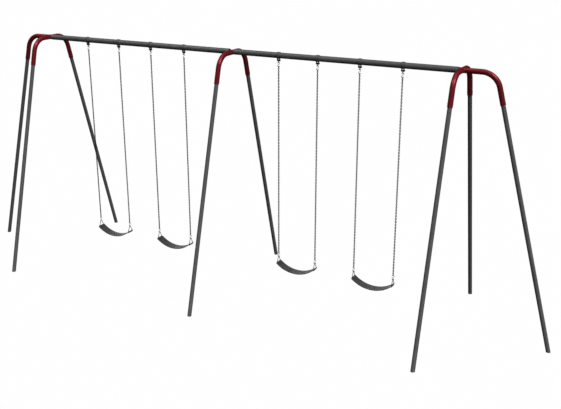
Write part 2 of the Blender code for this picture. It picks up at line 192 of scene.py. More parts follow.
def metal(name, base, dark, rough, scale, bump, metallic, level=0.5):
    """Cast, plated or galvanised steel: mottled tone with a fine grain."""
    n = Nodes(name)
    mottling = n.noise(scale=scale, detail=3.0, rough=0.6)
    fine = n.noise(scale=scale * 9.0, detail=4.0, rough=0.6)
    colour = n.mix(n.map(mottling, span=(0.35, 0.68)), dark, base)
    pits = n.map(fine, span=(0.62, 0.8), to=(0.0, 0.35))
    colour = n.mix(pits, colour, scaled(dark, gain=0.55))
    edges = n.map(n.pointiness(), span=(0.53, 0.62), to=(0.0, 0.5))
    colour = n.mix(edges, colour, scaled(base, gain=1.3))
    n.set("Base Color", colour)
    n.set("Metallic", metallic)
    n.set("Specular IOR Level", level)
    n.set("Roughness", n.map(fine, span=(0.3, 0.75), to=(rough - 0.07, rough + 0.12)))
    coarse = n.bump(mottling, strength=bump * 0.5, distance=0.001)
    n.set("Normal", n.bump(fine, strength=bump, distance=0.0004, normal=coarse))
    return n.mat


def rubber(name):
    """Moulded belt rubber: fine grain, pale stretched scuffs, lighter edges, and painted shade
    darkening its hollows.
    """
    n = Nodes(name)
    cloud = n.noise(scale=11.0, detail=5.0, rough=0.6)
    colour = n.mix(n.map(cloud, span=(0.32, 0.70)), (0.024, 0.024, 0.026), (0.046, 0.046, 0.048))
    scuff = n.noise(scale=26.0, detail=6.0, rough=0.65, vector=n.stretched(x=0.45, y=5.0, z=1.4))
    colour = n.mix(n.map(scuff, span=(0.58, 0.76), to=(0.0, 0.42)), colour, (0.150, 0.148, 0.142))
    edges = n.map(n.pointiness(), span=(0.52, 0.60), to=(0.0, 0.5))
    colour = n.mix(edges, colour, (0.085, 0.085, 0.086))
    # Painted shade: concave hollows are darkened towards near black.
    painted_shade_hollows = n.map(n.pointiness(), span=(0.48, 0.42), to=(0.0, 0.55))
    colour = n.mix(painted_shade_hollows, colour, (0.012, 0.012, 0.013))
    n.set("Base Color", colour)
    n.set("Roughness", n.map(scuff, span=(0.3, 0.8), to=(0.44, 0.72)))
    n.set("Specular IOR Level", 0.42)
    n.set("Sheen Weight", 0.60)
    n.set("Sheen Roughness", 0.38)
    grain = n.noise(scale=1500.0, detail=2.0, rough=0.6)
    swell = n.bump(n.noise(scale=90.0, detail=3.0), strength=0.16, distance=0.0010)
    n.set("Normal", n.bump(grain, strength=0.40, distance=0.0003, normal=swell))
    return n.mat


GREY = powder_coat("grey_powder_coat", base=(0.078, 0.080, 0.083), lighter=(0.096, 0.098, 0.100),
                   dust=(0.20, 0.185, 0.16), rough=0.40)
RED = powder_coat("red_powder_coat", base=(0.205, 0.0150, 0.0205),
                  lighter=(0.242, 0.0175, 0.0240), dust=(0.17, 0.060, 0.052), rough=0.38,
                  level=0.6, tint=(1.0, 0.26, 0.34), coat=0.14, metallic=0.46)
CAST = metal("dark_cast_iron", base=(0.100, 0.100, 0.103), dark=(0.060, 0.060, 0.062),
             rough=0.52, scale=120.0, bump=0.45, metallic=0.30)
ZINC = metal("bright_zinc", base=(0.42, 0.42, 0.42), dark=(0.30, 0.30, 0.305),
             rough=0.30, scale=90.0, bump=0.12, metallic=0.35)
CHAIN = metal("dull_galvanised_chain", base=(0.026, 0.026, 0.027), dark=(0.016, 0.016, 0.017),
              rough=0.50, scale=160.0, bump=0.30, metallic=0.20, level=0.35)
SHACKLE = metal("dark_plated_wire", base=(0.024, 0.024, 0.025), dark=(0.014, 0.014, 0.015),
                rough=0.42, scale=120.0, bump=0.20, metallic=0.20, level=0.35)
BOLT_STEEL = metal("dulled_bolt_steel", base=(0.085, 0.085, 0.087), dark=(0.050, 0.050, 0.052),
                   rough=0.45, scale=110.0, bump=0.20, metallic=0.35)
RUBBER = rubber("belt_rubber")

# ------------------------------------------------------------------ shapes
# A shape is a pair: a list of vertices and a list of faces.


def filleted(corners, radius, steps, closed=False):
    """A path with its corners rounded; radius is one value or one per corner."""
    path = []
    count = len(corners)
    for i, corner in enumerate(corners):
        p = Vector(corner)
        if not closed and i in (0, count - 1):
            path.append(p)
            continue
        r = radius[i] if isinstance(radius, list) else radius
        back = (Vector(corners[i - 1]) - p).normalized()
        ahead = (Vector(corners[(i + 1) % count]) - p).normalized()
        half = back.angle(ahead) / 2
        centre = p + (back + ahead).normalized() * (r / math.sin(half))
        start = p + back * (r / math.tan(half)) - centre
        turn = math.pi - 2 * half
        axis = start.cross(p + ahead * (r / math.tan(half)) - centre).normalized()
        for k in range(steps + 1):
            path.append(centre + Matrix.Rotation(turn * k / steps, 3, axis) @ start)
    return path


def normals_along(path, closed):
    """Two normals at each point of a path, carried along without twisting."""
    count = len(path)
    tangents = []
    for i in range(count):
        if i == 0 and not closed:
            tangent = path[1] - path[0]
        elif i == count - 1 and not closed:
            tangent = path[-1] - path[-2]
        else:
            ahead = (path[(i + 1) % count] - path[i]).normalized()
            tangent = ahead + (path[i] - path[i - 1]).normalized()
        tangents.append(tangent.normalized())
    first = tangents[0]
    ref = Vector((0, 0, 1)) if abs(first.z) < 0.9 else Vector((1, 0, 0))
    normal = (ref - first * ref.dot(first)).normalized()
    out = []
    for tangent in tangents:
        normal = (normal - tangent * normal.dot(tangent)).normalized()
        out.append((normal, tangent.cross(normal)))
    return out


def rings(path, radii, sides, closed=False):
    """Vertices in a ring round each point of a path."""
    verts = []
    for p, (u, v), r in zip(path, normals_along(path, closed), radii):
        for k in range(sides):
            a = 2 * math.pi * k / sides
            verts.append(p + (u * math.cos(a) + v * math.sin(a)) * r)
    return verts


def bands(first, rows, sides, closed=False, flip=False):
    """Faces between successive rings, counted from vertex first."""
    faces = []
    for i in range(rows if closed else rows - 1):
        a = first + i * sides
        b = first + ((i + 1) % rows) * sides
        for k in range(sides):
            m = (k + 1) % sides
            quad = (a + k, a + m, b + m, b + k)
            faces.append(quad[::-1] if flip else quad)
    return faces


def capped(rows, sides):
    """Faces between rings, with both ends closed."""
    last = (rows - 1) * sides
    ends = [tuple(reversed(range(sides))), tuple(range(last, last + sides))]
    return bands(0, rows, sides) + ends


def loop_tube(path, radii, sides):
    """A round tube along a closed path."""
    return rings(path, radii, sides, True), bands(0, len(path), sides, True)


def rod(path, radius, sides, dome=False):
    """A solid round rod along an open path; dome rounds off its ends."""
    path = [Vector(p) for p in path]
    radii = [radius] * len(path)
    if dome:
        steps, last_angle, bulge = 3, math.radians(82), 0.6
        head_dir = (path[0] - path[1]).normalized()
        tail_dir = (path[-1] - path[-2]).normalized()
        head, tail, tail_radii = [], [], []
        for k in range(1, steps + 1):
            a = last_angle * k / steps
            head.insert(0, path[0] + head_dir * radius * bulge * math.sin(a))
            tail.append(path[-1] + tail_dir * radius * bulge * math.sin(a))
            tail_radii.append(radius * math.cos(a))
        path = head + path + tail
        radii = tail_radii[::-1] + radii + tail_radii
    return rings(path, radii, sides), capped(len(path), sides)


def hollow(start, end, outer, inner, sides, chamfer=0.0008):
    """A straight tube with a bore right through it and softened rims at both ends."""
    along = (end - start).normalized()
    path = [start, start + along * chamfer, end - along * chamfer, end]
    rows = len(path)
    verts = rings(path, [outer - chamfer, outer, outer, outer - chamfer], sides)
    verts += rings(path, [inner + chamfer, inner, inner, inner + chamfer], sides)
    bore, last = rows * sides, (rows - 1) * sides
    faces = bands(0, rows, sides) + bands(bore, rows, sides, flip=True)
    for k in range(sides):
        m = (k + 1) % sides
        faces.append((k, bore + k, bore + m, m))
        faces.append((last + k, last + m, bore + last + m, bore + last + k))
    return verts, faces


def lathe_x(profile, sides):
    """Turns (x, radius) points round the X axis and closes both ends."""
    verts, faces = [], []
    for x, r in profile:
        for k in range(sides):
            a = 2 * math.pi * k / sides
            verts.append(Vector((x, r * math.cos(a), r * math.sin(a))))
    last = (len(profile) - 1) * sides
    for a in range(0, last, sides):
        b = a + sides
        for k in range(sides):
            m = (k + 1) % sides
            faces.append((a + m, b + m, b + k, a + k))
    faces.append(tuple(range(sides)))
    faces.append(tuple(reversed(range(last, last + sides))))
    return verts, faces


def cylinder_x(x0, x1, radius, sides=32):
    return lathe_x([(x0, radius), (x1, radius)], sides)


def prism_x(outline, x0, x1, chamfer):
    """A plate with a (y, z) outline, chamfered round both faces."""
    count = len(outline)
    edge = [Vector(p) for p in outline]
    centre = Vector((sum(y for y, _ in outline) / count, sum(z for _, z in outline) / count))
    inset = []
    for i, p in enumerate(edge):
        a = (p - edge[i - 1]).normalized()
        b = (edge[(i + 1) % count] - p).normalized()
        normal_a, normal_b = Vector((-a.y, a.x)), Vector((-b.y, b.x))
        if (centre - p).dot(normal_a + normal_b) < 0:
            normal_a, normal_b = -normal_a, -normal_b
        mitre = (normal_a + normal_b).normalized()
        inset.append(p + mitre * (chamfer / max(0.35, mitre.dot(normal_a))))
    layers = [(x0, inset), (x0 + chamfer, edge), (x1 - chamfer, edge), (x1, inset)]
    verts = [Vector((x, p.x, p.y)) for x, points in layers for p in points]
    return verts, capped(len(layers), count)


def joined(*shapes):
    verts, faces = [], []
    for shape_verts, shape_faces in shapes:
        base = len(verts)
        verts += shape_verts
        faces += [tuple(i + base for i in face) for face in shape_faces]
    return verts, faces


def moved(shape, matrix):
    verts, faces = shape
    return [matrix @ v for v in verts], faces


def at(x, y, z):
    return Matrix.Translation((x, y, z))


# ------------------------------------------------------------------ meshes and objects


def plain_mesh(shape, name):
    verts, faces = shape
    mesh = bpy.data.meshes.new(name)
    mesh.from_pydata([tuple(v) for v in verts], [], faces)
    return mesh


def mesh_from(shape, name):
    """A mesh with its normals turned outward."""
    mesh = plain_mesh(shape, name)
    bm = bmesh.new()
    bm.from_mesh(mesh)
    bmesh.ops.recalc_face_normals(bm, faces=bm.faces)
    bm.to_mesh(mesh)
    bm.free()
    return mesh


def carved(name, base, steps):
    """The mesh left when a list of (operation, shape) is applied to a base shape."""
    ob = bpy.data.objects.new(name, mesh_from(base, name))
    scene.collection.objects.link(ob)
    tools = []
    for i, (operation, shape) in enumerate(steps):
        tool = bpy.data.objects.new("%s_tool_%d" % (name, i), mesh_from(shape, "tool"))
        scene.collection.objects.link(tool)
        mod = ob.modifiers.new("b%d" % i, 'BOOLEAN')
        mod.operation = operation
        mod.solver = 'EXACT'
        mod.object = tool
        tools.append(tool)
    bpy.context.view_layer.update()
    depsgraph = bpy.context.evaluated_depsgraph_get()
    mesh = bpy.data.meshes.new_from_object(ob.evaluated_get(depsgraph))
    for used in [ob] + tools:
        old = used.data
        bpy.data.objects.remove(used, do_unlink=True)
        bpy.data.meshes.remove(old)
    bm = bmesh.new()
    bm.from_mesh(mesh)
    bmesh.ops.remove_doubles(bm, verts=bm.verts, dist=0.000005)
    bmesh.ops.dissolve_degenerate(bm, dist=0.000005, edges=bm.edges)
    bm.to_mesh(mesh)
    bm.free()
    mesh.name = name
    return mesh


def shade(mesh, material, angle):
    """Gives a mesh its material; edges sharper than angle degrees stay crisp."""
    mesh.materials.clear()
    mesh.materials.append(material)
    mesh.shade_smooth()
    mesh.set_sharp_from_angle(angle=math.radians(angle))
    return mesh


def place(name, mesh, body, replaces=None, location=(0, 0, 0)):
    ob = bpy.data.objects.new(name, mesh)
    scene.collection.objects.link(ob)
    ob.location = location
    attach(ob, body)
    if replaces:
        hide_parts(replaces)


def place_tube(name, shape, material, angle=35.0, replaces=None):
    """Places a frame piece whose faces already point the right way."""
    mesh = plain_mesh(shape, name)
    mesh.validate()
    place(name, shade(mesh, material, angle), "frame", replaces)


# ------------------------------------------------------------------ yokes

TUBE_SIDES = 40
BORE_SIDES = 28
YOKE_R = 0.0365
YOKE_WALL = 0.0047
YOKE_BORE = YOKE_R - YOKE_WALL
BEND_R = 0.250
BEND_STEPS = 20
STUB_LEN = 0.200            # yoke centre to the end of a stub inside a rail
CROSS_INSET = 0.0002        # outside of the crossing tube below the arch's
BORE_INSET = 0.0003         # the same for its bore
OVERCUT = 0.010             # how far a bore tool runs past the tube's end
NECK_R = 0.0245
NECK_END = 0.052            # middle yoke: centre to the end of the neck
NECK_TAPER = 0.012

# Arms: reach to the bend's corner, sideways lean per unit of drop, drop to the sleeve's end.
ARM_END = (0.3443, 0.2692, 0.3980)
ARM_OUT = (0.4446, 0.2702, 0.3990)
ARM_MIDDLE = (0.3340, 0.2756, 0.4040)
MIDDLE_SINK = 0.010         # the middle arch lies this far below the rails' axis


def arch_path(x, arm, sink, past=0.0):
    """From the front sleeve's end over the top to the back one's."""
    reach, lean, drop = arm
    corners = []
    for sign in (-1, 1):
        end = (x, sign * (reach + lean * (drop + past)), RAIL_Z - drop - past)
        corner = (x, sign * (reach + lean * sink), RAIL_Z - sink)
        corners += [end, corner] if sign < 0 else [corner, end]
    return filleted(corners, BEND_R, BEND_STEPS)


def outer_path(side, past=0.0):
    """From an end yoke's outer sleeve over the hub into the rail."""
    reach, lean, drop = ARM_OUT
    drop += past
    corners = [(side * (HUB_X + reach + lean * drop), 0, RAIL_Z - drop),
               (side * (HUB_X + reach), 0, RAIL_Z),
               (side * (HUB_X - STUB_LEN - past), 0, RAIL_Z)]
    return filleted(corners, BEND_R, BEND_STEPS)


def necked(x, body, neck, past=0.0, lengthen=0.0):
    """The middle yoke's two stubs in one turned piece, drawn in to a neck at the arch."""
    half = [(NECK_END + lengthen, neck), (NECK_END + NECK_TAPER + lengthen * 0.4, body),
            (STUB_LEN + past, body)]
    return moved(lathe_x([(-a, r) for a, r in half[::-1]] + half, TUBE_SIDES), at(x, 0, RAIL_Z))


def weld_bead(path, radius):
    """A closed bead, rippled like a stitched weld."""
    radii = [radius * (1.0 + 0.13 * math.cos(k * math.pi / 2)) for k in range(len(path))]
    return loop_tube(path, radii, 8)


def circle_angles(count):
    return [2 * math.pi * k / count for k in range(count)]


def collar_bead(x, sign):
    """Weld bead where the crossing tube meets an end yoke's arch."""
    ring_r = YOKE_R * 1.005
    spread = 0.012              # keeps the two beads apart at top and bottom
    path = [Vector((x + sign * (YOKE_R * math.sqrt(math.cos(a) ** 2 + spread)),
                    ring_r * math.cos(a), RAIL_Z + ring_r * math.sin(a)))
            for a in circle_angles(120)]
    return weld_bead(path, radius=0.0034)


def neck_bead(x, sign, sink):
    """Weld bead round a neck where it goes into the side of the sunk arch."""
    path = []
    for a in circle_angles(100):
        y, z = NECK_R * math.cos(a), NECK_R * math.sin(a)
        path.append(Vector((x + sign * math.sqrt(YOKE_R ** 2 - (z + sink) ** 2),
                            y * 1.01, RAIL_Z + z * 1.01)))
    return weld_bead(path, radius=0.0032)


def yoke(name, x, arm, side, sink=0.0):
    """Arch and crossing tube joined and bored through, with weld beads; side 0 is the middle."""
    arch = rod(arch_path(x, arm, sink), YOKE_R, TUBE_SIDES)
    arch_bore = rod(arch_path(x, arm, sink, OVERCUT), YOKE_BORE, BORE_SIDES)
    cross_r, bore_r = YOKE_R - CROSS_INSET, YOKE_BORE - BORE_INSET
    if side:
        cross = rod(outer_path(side), cross_r, TUBE_SIDES)
        cross_bore = rod(outer_path(side, OVERCUT), bore_r, BORE_SIDES)
    else:
        cross = necked(x, cross_r, NECK_R)
        cross_bore = necked(x, bore_r, NECK_R - YOKE_WALL, OVERCUT, lengthen=0.004)
    mesh = carved(name + "_tube", arch, [('UNION', cross), ('DIFFERENCE', arch_bore),
                                         ('DIFFERENCE', cross_bore)])
    beads = [collar_bead(x, s) if side else neck_bead(x, s, sink) for s in (-1, 1)]
    place_tube(name + "_weld", joined(*beads), RED, angle=60.0)
    place(name + "_tube", shade(mesh, RED, 32.0), "frame", name)


yoke("yoke_left", -HUB_X, ARM_END, side=-1)
yoke("yoke_middle", MIDDLE_X, ARM_MIDDLE, side=0, sink=MIDDLE_SINK)
yoke("yoke_right", HUB_X, ARM_END, side=1)

# ------------------------------------------------------------------ legs and rails

LEG_WALL = 0.0039
LEG_INSERT = 0.150          # length of leg inside its sleeve
RAIL_WALL = 0.0036

# Yoke x, arm, and the (x, y) direction the leg leans out in.
LEGS = {
    "leg_left_front": (-HUB_X, ARM_END, (0, -1)),
    "leg_left_back": (-HUB_X, ARM_END, (0, 1)),
    "leg_left_outer": (-HUB_X, ARM_OUT, (-1, 0)),
    "leg_middle_front": (MIDDLE_X, ARM_MIDDLE, (0, -1)),
    "leg_middle_back": (MIDDLE_X, ARM_MIDDLE, (0, 1)),
    "leg_right_front": (HUB_X, ARM_END, (0, -1)),
    "leg_right_back": (HUB_X, ARM_END, (0, 1)),
    "leg_right_outer": (HUB_X, ARM_OUT, (1, 0)),
}


def leg_point(x, arm, direction, drop):
    """The point on a leg's axis at a drop below the rails' axis."""
    reach, lean, _ = arm
    out = Vector((*direction, 0.0))
    return Vector((x, 0.0, RAIL_Z)) + out * (reach + lean * drop) - Vector((0, 0, drop))


def leg_axis(x, arm, direction):
    """Foot, top and downward axis of a leg."""
    _, lean, drop = arm
    foot = leg_point(x, arm, direction, RAIL_Z)
    top = leg_point(x, arm, direction, drop - LEG_INSERT / math.hypot(1.0, lean))
    return foot, top, (foot - top).normalized()


def leg(name):
    """A leg tube with its foot cut level with the ground."""
    foot, top, down = leg_axis(*LEGS[name])
    verts, faces = hollow(top, foot, LEG_R, LEG_R - LEG_WALL, TUBE_SIDES)
    half_length = (foot - top).length * 0.5
    verts = [v + down * (-v.z / down.z) if (v - top).dot(down) > half_length else v
             for v in verts]
    place_tube(name + "_tube", (verts, faces), GREY, replaces=name)


def rail(name):
    lo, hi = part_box(name)
    shape = hollow(Vector((lo.x, 0, RAIL_Z)), Vector((hi.x, 0, RAIL_Z)),
                   RAIL_R, RAIL_R - RAIL_WALL, 48)
    place_tube(name + "_tube", shape, GREY, replaces=name)


for leg_name in LEGS:
    leg(leg_name)
for rail_name in ("rail_left", "rail_right"):
    rail(rail_name)

# ------------------------------------------------------------------ hangers
# Hanger meshes have their origin on the pivot bolt's axis.

BAND_R, BAND_BORE, BAND_LEN = 0.0480, 0.0418, 0.044
BAND_UP = RAIL_Z - PIVOT_Z
EAR_R, EAR_NECK, EAR_IN, EAR_OUT = 0.017, 0.0125, 0.011, 0.019
BOLT_R, BOLT_HOLE = 0.006, 0.0066
HEX_R = 0.0104
EYE_DROP, EYE_R, EYE_HOLE = 0.0300, 0.0122, 0.0072

# (y, z) points down one edge, before the round end.
EAR_EDGE = [(0.0165, 0.034), (0.0140, 0.0225), (0.0128, 0.0165)]
PENDULUM_EDGE = [(0.0090, 0.002), (0.0080, -0.0110), (0.0086, -0.0190)]

# (x, radius) profile of the pendulum's barrel.
BARREL = [(-0.0100, 0.0092), (-0.0092, 0.0100), (-0.0076, 0.0100), (-0.0076, 0.0110),
          (0.0076, 0.0110), (0.0076, 0.0100), (0.0092, 0.0100), (0.0100, 0.0092)]


def tongue_outline(edge, radius, centre_z, start):
    """A (y, z) outline: an edge, a round lower end from angle start, and the mirrored edge."""
    steps = 24
    angles = [start - (math.pi + 2 * start) * k / steps for k in range(steps + 1)]
    arc = [(radius * math.cos(a), centre_z + radius * math.sin(a)) for a in angles]
    return edge + arc + [(-y, z) for y, z in reversed(edge)]


def clamp_mesh():
    """A band round the rail with two ears hanging from it, drilled for the bolt."""
    h, chamfer = BAND_LEN / 2, 0.0016
    band = lathe_x([(-h, BAND_R - chamfer), (-h + chamfer, BAND_R),
                    (h - chamfer, BAND_R), (h, BAND_R - chamfer)], 64)
    start = math.acos(EAR_NECK / EAR_R) - 0.12
    outline = tongue_outline(EAR_EDGE, EAR_R, 0.0, start)
    steps = []
    for s in (-1, 1):
        x0, x1 = sorted((s * EAR_IN, s * EAR_OUT))
        steps.append(('UNION', prism_x(outline, x0, x1, 0.0012)))
        x0, x1 = sorted((s * (EAR_OUT - 0.002), s * (EAR_OUT + 0.0006)))
        boss = lathe_x([(x0, 0.0125), (x1 - 0.0003, 0.0125), (x1, 0.0121)], 32)
        steps.append(('UNION', boss))
    rail_bore = moved(cylinder_x(-0.04, 0.04, BAND_BORE, 64), at(0, 0, BAND_UP))
    steps.append(('DIFFERENCE', rail_bore))
    steps.append(('DIFFERENCE', cylinder_x(-0.03, 0.03, BOLT_HOLE)))
    return shade(carved("clamp", moved(band, at(0, 0, BAND_UP)), steps), CAST, 30.0)


def hexagon(inner, outer):
    """A nut or bolt head between two x places, drawn in at its outer face."""
    rows = [(inner, HEX_R), (outer - (outer - inner) * 0.16, HEX_R), (outer, HEX_R * 0.90)]
    angles = [math.pi / 3 * k + 0.2 for k in range(6)]
    verts = [Vector((x, r * math.cos(a), r * math.sin(a))) for x, r in rows for a in angles]
    return verts, capped(len(rows), len(angles))


def bolt_mesh():
    """The pivot bolt, with its head at -X and its nut and collar at +X."""
    e = EAR_OUT
    shank = lathe_x([(-e - 0.004, BOLT_R), (e + 0.0118, BOLT_R), (e + 0.0125, BOLT_R - 0.0008)],
                    32)
    parts = [hexagon(-e - 0.0022, -e - 0.0075),
             hexagon(e + 0.0022, e + 0.0095),
             cylinder_x(-e - 0.0024, -e - 0.0009, 0.0115),      # washers
             cylinder_x(e + 0.0009, e + 0.0024, 0.0115),
             lathe_x([(e + 0.0090, 0.0082), (e + 0.0108, 0.0080), (e + 0.0112, 0.0072)], 32)]
    steps = [('UNION', part) for part in parts]
    return shade(carved("pivot_bolt", shank, steps), BOLT_STEEL, 30.0)


def pendulum_mesh():
    """The swinging piece: a barrel on the bolt and a flat tongue with an eye."""
    outline = tongue_outline(PENDULUM_EDGE, EYE_R, -EYE_DROP, 0.60)
    eye = moved(cylinder_x(-0.02, 0.02, EYE_HOLE), at(0, 0, -EYE_DROP))
    steps = [('UNION', prism_x(outline, -0.0040, 0.0040, 0.0009)),
             ('DIFFERENCE', cylinder_x(-0.02, 0.02, 0.0064)),
             ('DIFFERENCE', eye)]
    return shade(carved("pendulum", lathe_x(BARREL, 40), steps), CAST, 30.0)


HOOK_R = 0.01550            # a quarter of the hook's centreline height
HOOK_WIRE = 0.004
HOOK_LOOP_W, HOOK_LOOP_H = 0.0170, 0.0125       # half sizes of a loop
HOOK_TOP = 0.0319           # pivot down to the top of the upper hook's centreline


def hook_path():
    """Open S round its middle: two oval loops joined by a stroke tangent to both."""
    steps = 22
    rise = 2 * HOOK_R - HOOK_LOOP_H
    start = 5.0
    leave = 270.0 - math.degrees(math.acos(HOOK_LOOP_H / rise))
    upper = []
    for k in range(steps + 1):
        a = math.radians(start + (leave - start) * k / steps)
        upper.append(Vector((-HOOK_LOOP_W * math.cos(a), 0, rise + HOOK_LOOP_H * math.sin(a))))
    upper.append(upper[-1] / 2)
    return upper + [Vector((0, 0, 0))] + [-p for p in reversed(upper)]


CLAMP_MESH = clamp_mesh()
BOLT_MESH = bolt_mesh()
PENDULUM_MESH = pendulum_mesh()
HOOK_MESH = shade(mesh_from(rod(hook_path(), HOOK_WIRE, 14, dome=True), "s_hook"), ZINC, 50.0)

# ------------------------------------------------------------------ chain

LINK_WIRE = 0.0038
LINK_HALF_W = 0.0119 - LINK_WIRE            # centreline half width
LINK_GAP = 0.0002
HOOK_SEAT = 4 * HOOK_R - HOOK_WIRE - LINK_WIRE - LINK_GAP   # link end from a hook's far end
CHAIN_TOP = PIVOT_Z - HOOK_TOP - HOOK_SEAT
CHAIN_LOW = SEAT_Z + HOOK_SEAT
LINKS = 131
TWIST = math.radians(17.0)                  # turn of the links between the two hooks
TWIST_LINKS = 8.0                           # links over which the turn builds up


def link(top, bottom):
    """One welded link in the YZ plane between two end heights of its centreline."""
    arc = 8
    r = LINK_HALF_W
    middle = (top + bottom) / 2
    path = []
    for first, centre_z, side in ((0.0, top - r, -r), (math.pi, bottom + r, r)):
        for k in range(arc + 1):
            a = first + math.pi * k / arc
            path.append(Vector((0, r * math.cos(a), centre_z + r * math.sin(a))))
        path.append(Vector((0, side, middle)))
    radii = [LINK_WIRE] * len(path)
    radii[arc + 1] = LINK_WIRE * 1.14       # thickened at the weld
    return loop_tube(path, radii, 8)


def chain_mesh():
    """All links of one chain, each a quarter turn from the last; origin at the pivot."""
    overlap = 2 * LINK_WIRE + LINK_GAP
    pitch = (CHAIN_TOP - CHAIN_LOW - overlap) / LINKS
    parts = []
    for i in range(LINKS):
        top = CHAIN_TOP - pitch * i - PIVOT_Z
        twist = TWIST * min(1.0, i / TWIST_LINKS, (LINKS - 1 - i) / TWIST_LINKS)
        # Every fourth link is turned half round, which puts its weld on the other side.
        quarter = math.pi / 2 if i % 2 else math.pi * (i % 4 == 2)
        parts.append(moved(link(top, top - pitch - overlap),
                           Matrix.Rotation(twist + quarter, 4, 'Z')))
    return shade(mesh_from(joined(*parts), "chain_links"), CHAIN, 60.0)


CHAIN_MESH = chain_mesh()

# ------------------------------------------------------------------ shackle and belt
# Both have their origin at the height of the seat's tilt axis.

SHACKLE_R = 0.0098          # bend at the top
SHACKLE_CORNER = 0.010      # bends at the two lower corners
SHACKLE_WIRE = 0.0048
SHACKLE_SLOT = 0.0056       # radius of the passage cut in the belt
SHACKLE_DROP = 0.1037
SHACKLE_ANGLE = math.radians(26.0)      # half the angle at the top
BELT_R = 0.470              # curve of the belt seen from the front
BELT_LOW_Z = 0.395
BELT_HALF_ARC = math.radians(41.9)
BELT_LENGTH = BELT_R * BELT_HALF_ARC    # middle to one end, along the belt
BELT_W = 0.156
BELT_CORNER = 0.024
HANG_HALF = 0.3055          # belt's middle to a shackle

# (x, radius) profile of a rivet, its axis across the belt's thickness.
RIVET = [(-0.0078, 0.0020), (-0.0074, 0.0042), (-0.0064, 0.0060), (-0.0052, 0.0066),
         (0.0060, 0.0066), (0.0070, 0.0062), (0.0082, 0.0046), (0.0087, 0.0022)]


def shackle_loop(steps, radius, sides):
    """A triangular wire loop in the YZ plane, point up."""
    apex = SHACKLE_R / math.sin(SHACKLE_ANGLE)
    half = (apex + SHACKLE_DROP) * math.tan(SHACKLE_ANGLE)
    corners = [(0, 0, apex), (0, half, -SHACKLE_DROP), (0, -half, -SHACKLE_DROP)]
    path = filleted(corners, [SHACKLE_R, SHACKLE_CORNER, SHACKLE_CORNER], steps, True)
    return loop_tube(path, [radius] * len(path), sides)


def belt_station(s):
    """Centre and slope angle of the belt at a share s of its half length, -1 to 1."""
    a = s * BELT_HALF_ARC
    z = BELT_LOW_Z + BELT_R * (1 - math.cos(a)) - SEAT_Z
    return Vector((BELT_R * math.sin(a), 0, z)), a


def belt_section(s, across):
    """One ring of the belt: along its top from front to back, then back along its underside."""
    centre, a = belt_station(s)
    normal = Vector((-math.sin(a), 0, math.cos(a)))
    end = BELT_LENGTH * (1 - abs(s))
    half_w = BELT_W / 2
    if end < BELT_CORNER:
        in_corner = BELT_CORNER ** 2 - (BELT_CORNER - end) ** 2
        half_w = half_w - BELT_CORNER + math.sqrt(max(0.0, in_corner))
    soft = 1.0                  # thins the last 4 mm
    if end < 0.004:
        soft = 0.55 + 0.45 * math.sqrt(max(0.0, 1 - (1 - end / 0.004) ** 2))
    plate = 1.0 / (1.0 + math.exp((end - 0.058) / 0.0022))      # 1 in the thick end
    top, low = [], []
    for j in range(across + 1):
        y = (-1 + 2 * j / across) * half_w
        edge = half_w - abs(y)
        rim = math.exp(-((edge - 0.0062) / 0.0042) ** 2)
        rib = 0.5 + 0.5 * math.cos(2 * math.pi * y / 0.0118)
        inside = min(1.0, max(0.0, (edge - 0.013) / 0.006))
        rounding = max(0.06, math.sqrt(max(0.0, 1 - max(0.0, 1 - edge / 0.0050) ** 2)))
        up = 0.0047 + 0.0014 * rim + 0.0008 * rib * inside * (1 - plate) + 0.0015 * plate * inside
        down = 0.0055 + 0.0005 * rim
        up *= rounding * soft
        down *= rounding * soft
        top.append(centre + Vector((0, y, 0)) + normal * up)
        low.append(centre + Vector((0, y, 0)) - normal * down)
    return top + low[::-1]


def belt_mesh():
    """Moulded belt: raised rims, ribs along the seat, thick ends, passages for the shackles."""
    count, across = 120, 56
    ring = 2 * (across + 1)
    verts, faces = [], []
    for i in range(count + 1):
        verts += belt_section(-1 + 2 * i / count, across)
    for i in range(count):
        a, b = i * ring, (i + 1) * ring
        for k in range(ring):
            m = (k + 1) % ring
            faces.append((a + k, b + k, b + m, a + m))
    for first, flip in ((0, False), (count * ring, True)):
        for j in range(across):
            quad = (first + j, first + j + 1, first + ring - 2 - j, first + ring - 1 - j)
            faces.append(quad[::-1] if flip else quad)
    slot = shackle_loop(8, SHACKLE_SLOT, 16)
    steps = [('DIFFERENCE', moved(slot, at(x, 0, 0))) for x in (-HANG_HALF, HANG_HALF)]
    return shade(carved("belt", (verts, faces), steps), RUBBER, 40.0)


def rivet_mesh():
    """Two domed rivets through each thick end of a belt."""
    from_end, half_gap = 0.036, 0.030
    parts = []
    for sign in (-1, 1):
        for y in (-half_gap, half_gap):
            centre, a = belt_station(sign * (1 - from_end / BELT_LENGTH))
            stud = moved(lathe_x(RIVET, 20), Matrix.Rotation(-math.pi / 2, 4, 'Y'))
            turn = Matrix.Rotation(-a, 4, 'Y')
            parts.append(moved(stud, at(centre.x, y, centre.z) @ turn))
    return shade(mesh_from(joined(*parts), "belt_rivets"), SHACKLE, 40.0)


SHACKLE_MESH = shade(mesh_from(shackle_loop(14, SHACKLE_WIRE, 14), "shackle"), SHACKLE, 60.0)
BELT_MESH = belt_mesh()
RIVET_MESH = rivet_mesh()

# ------------------------------------------------------------------ swings


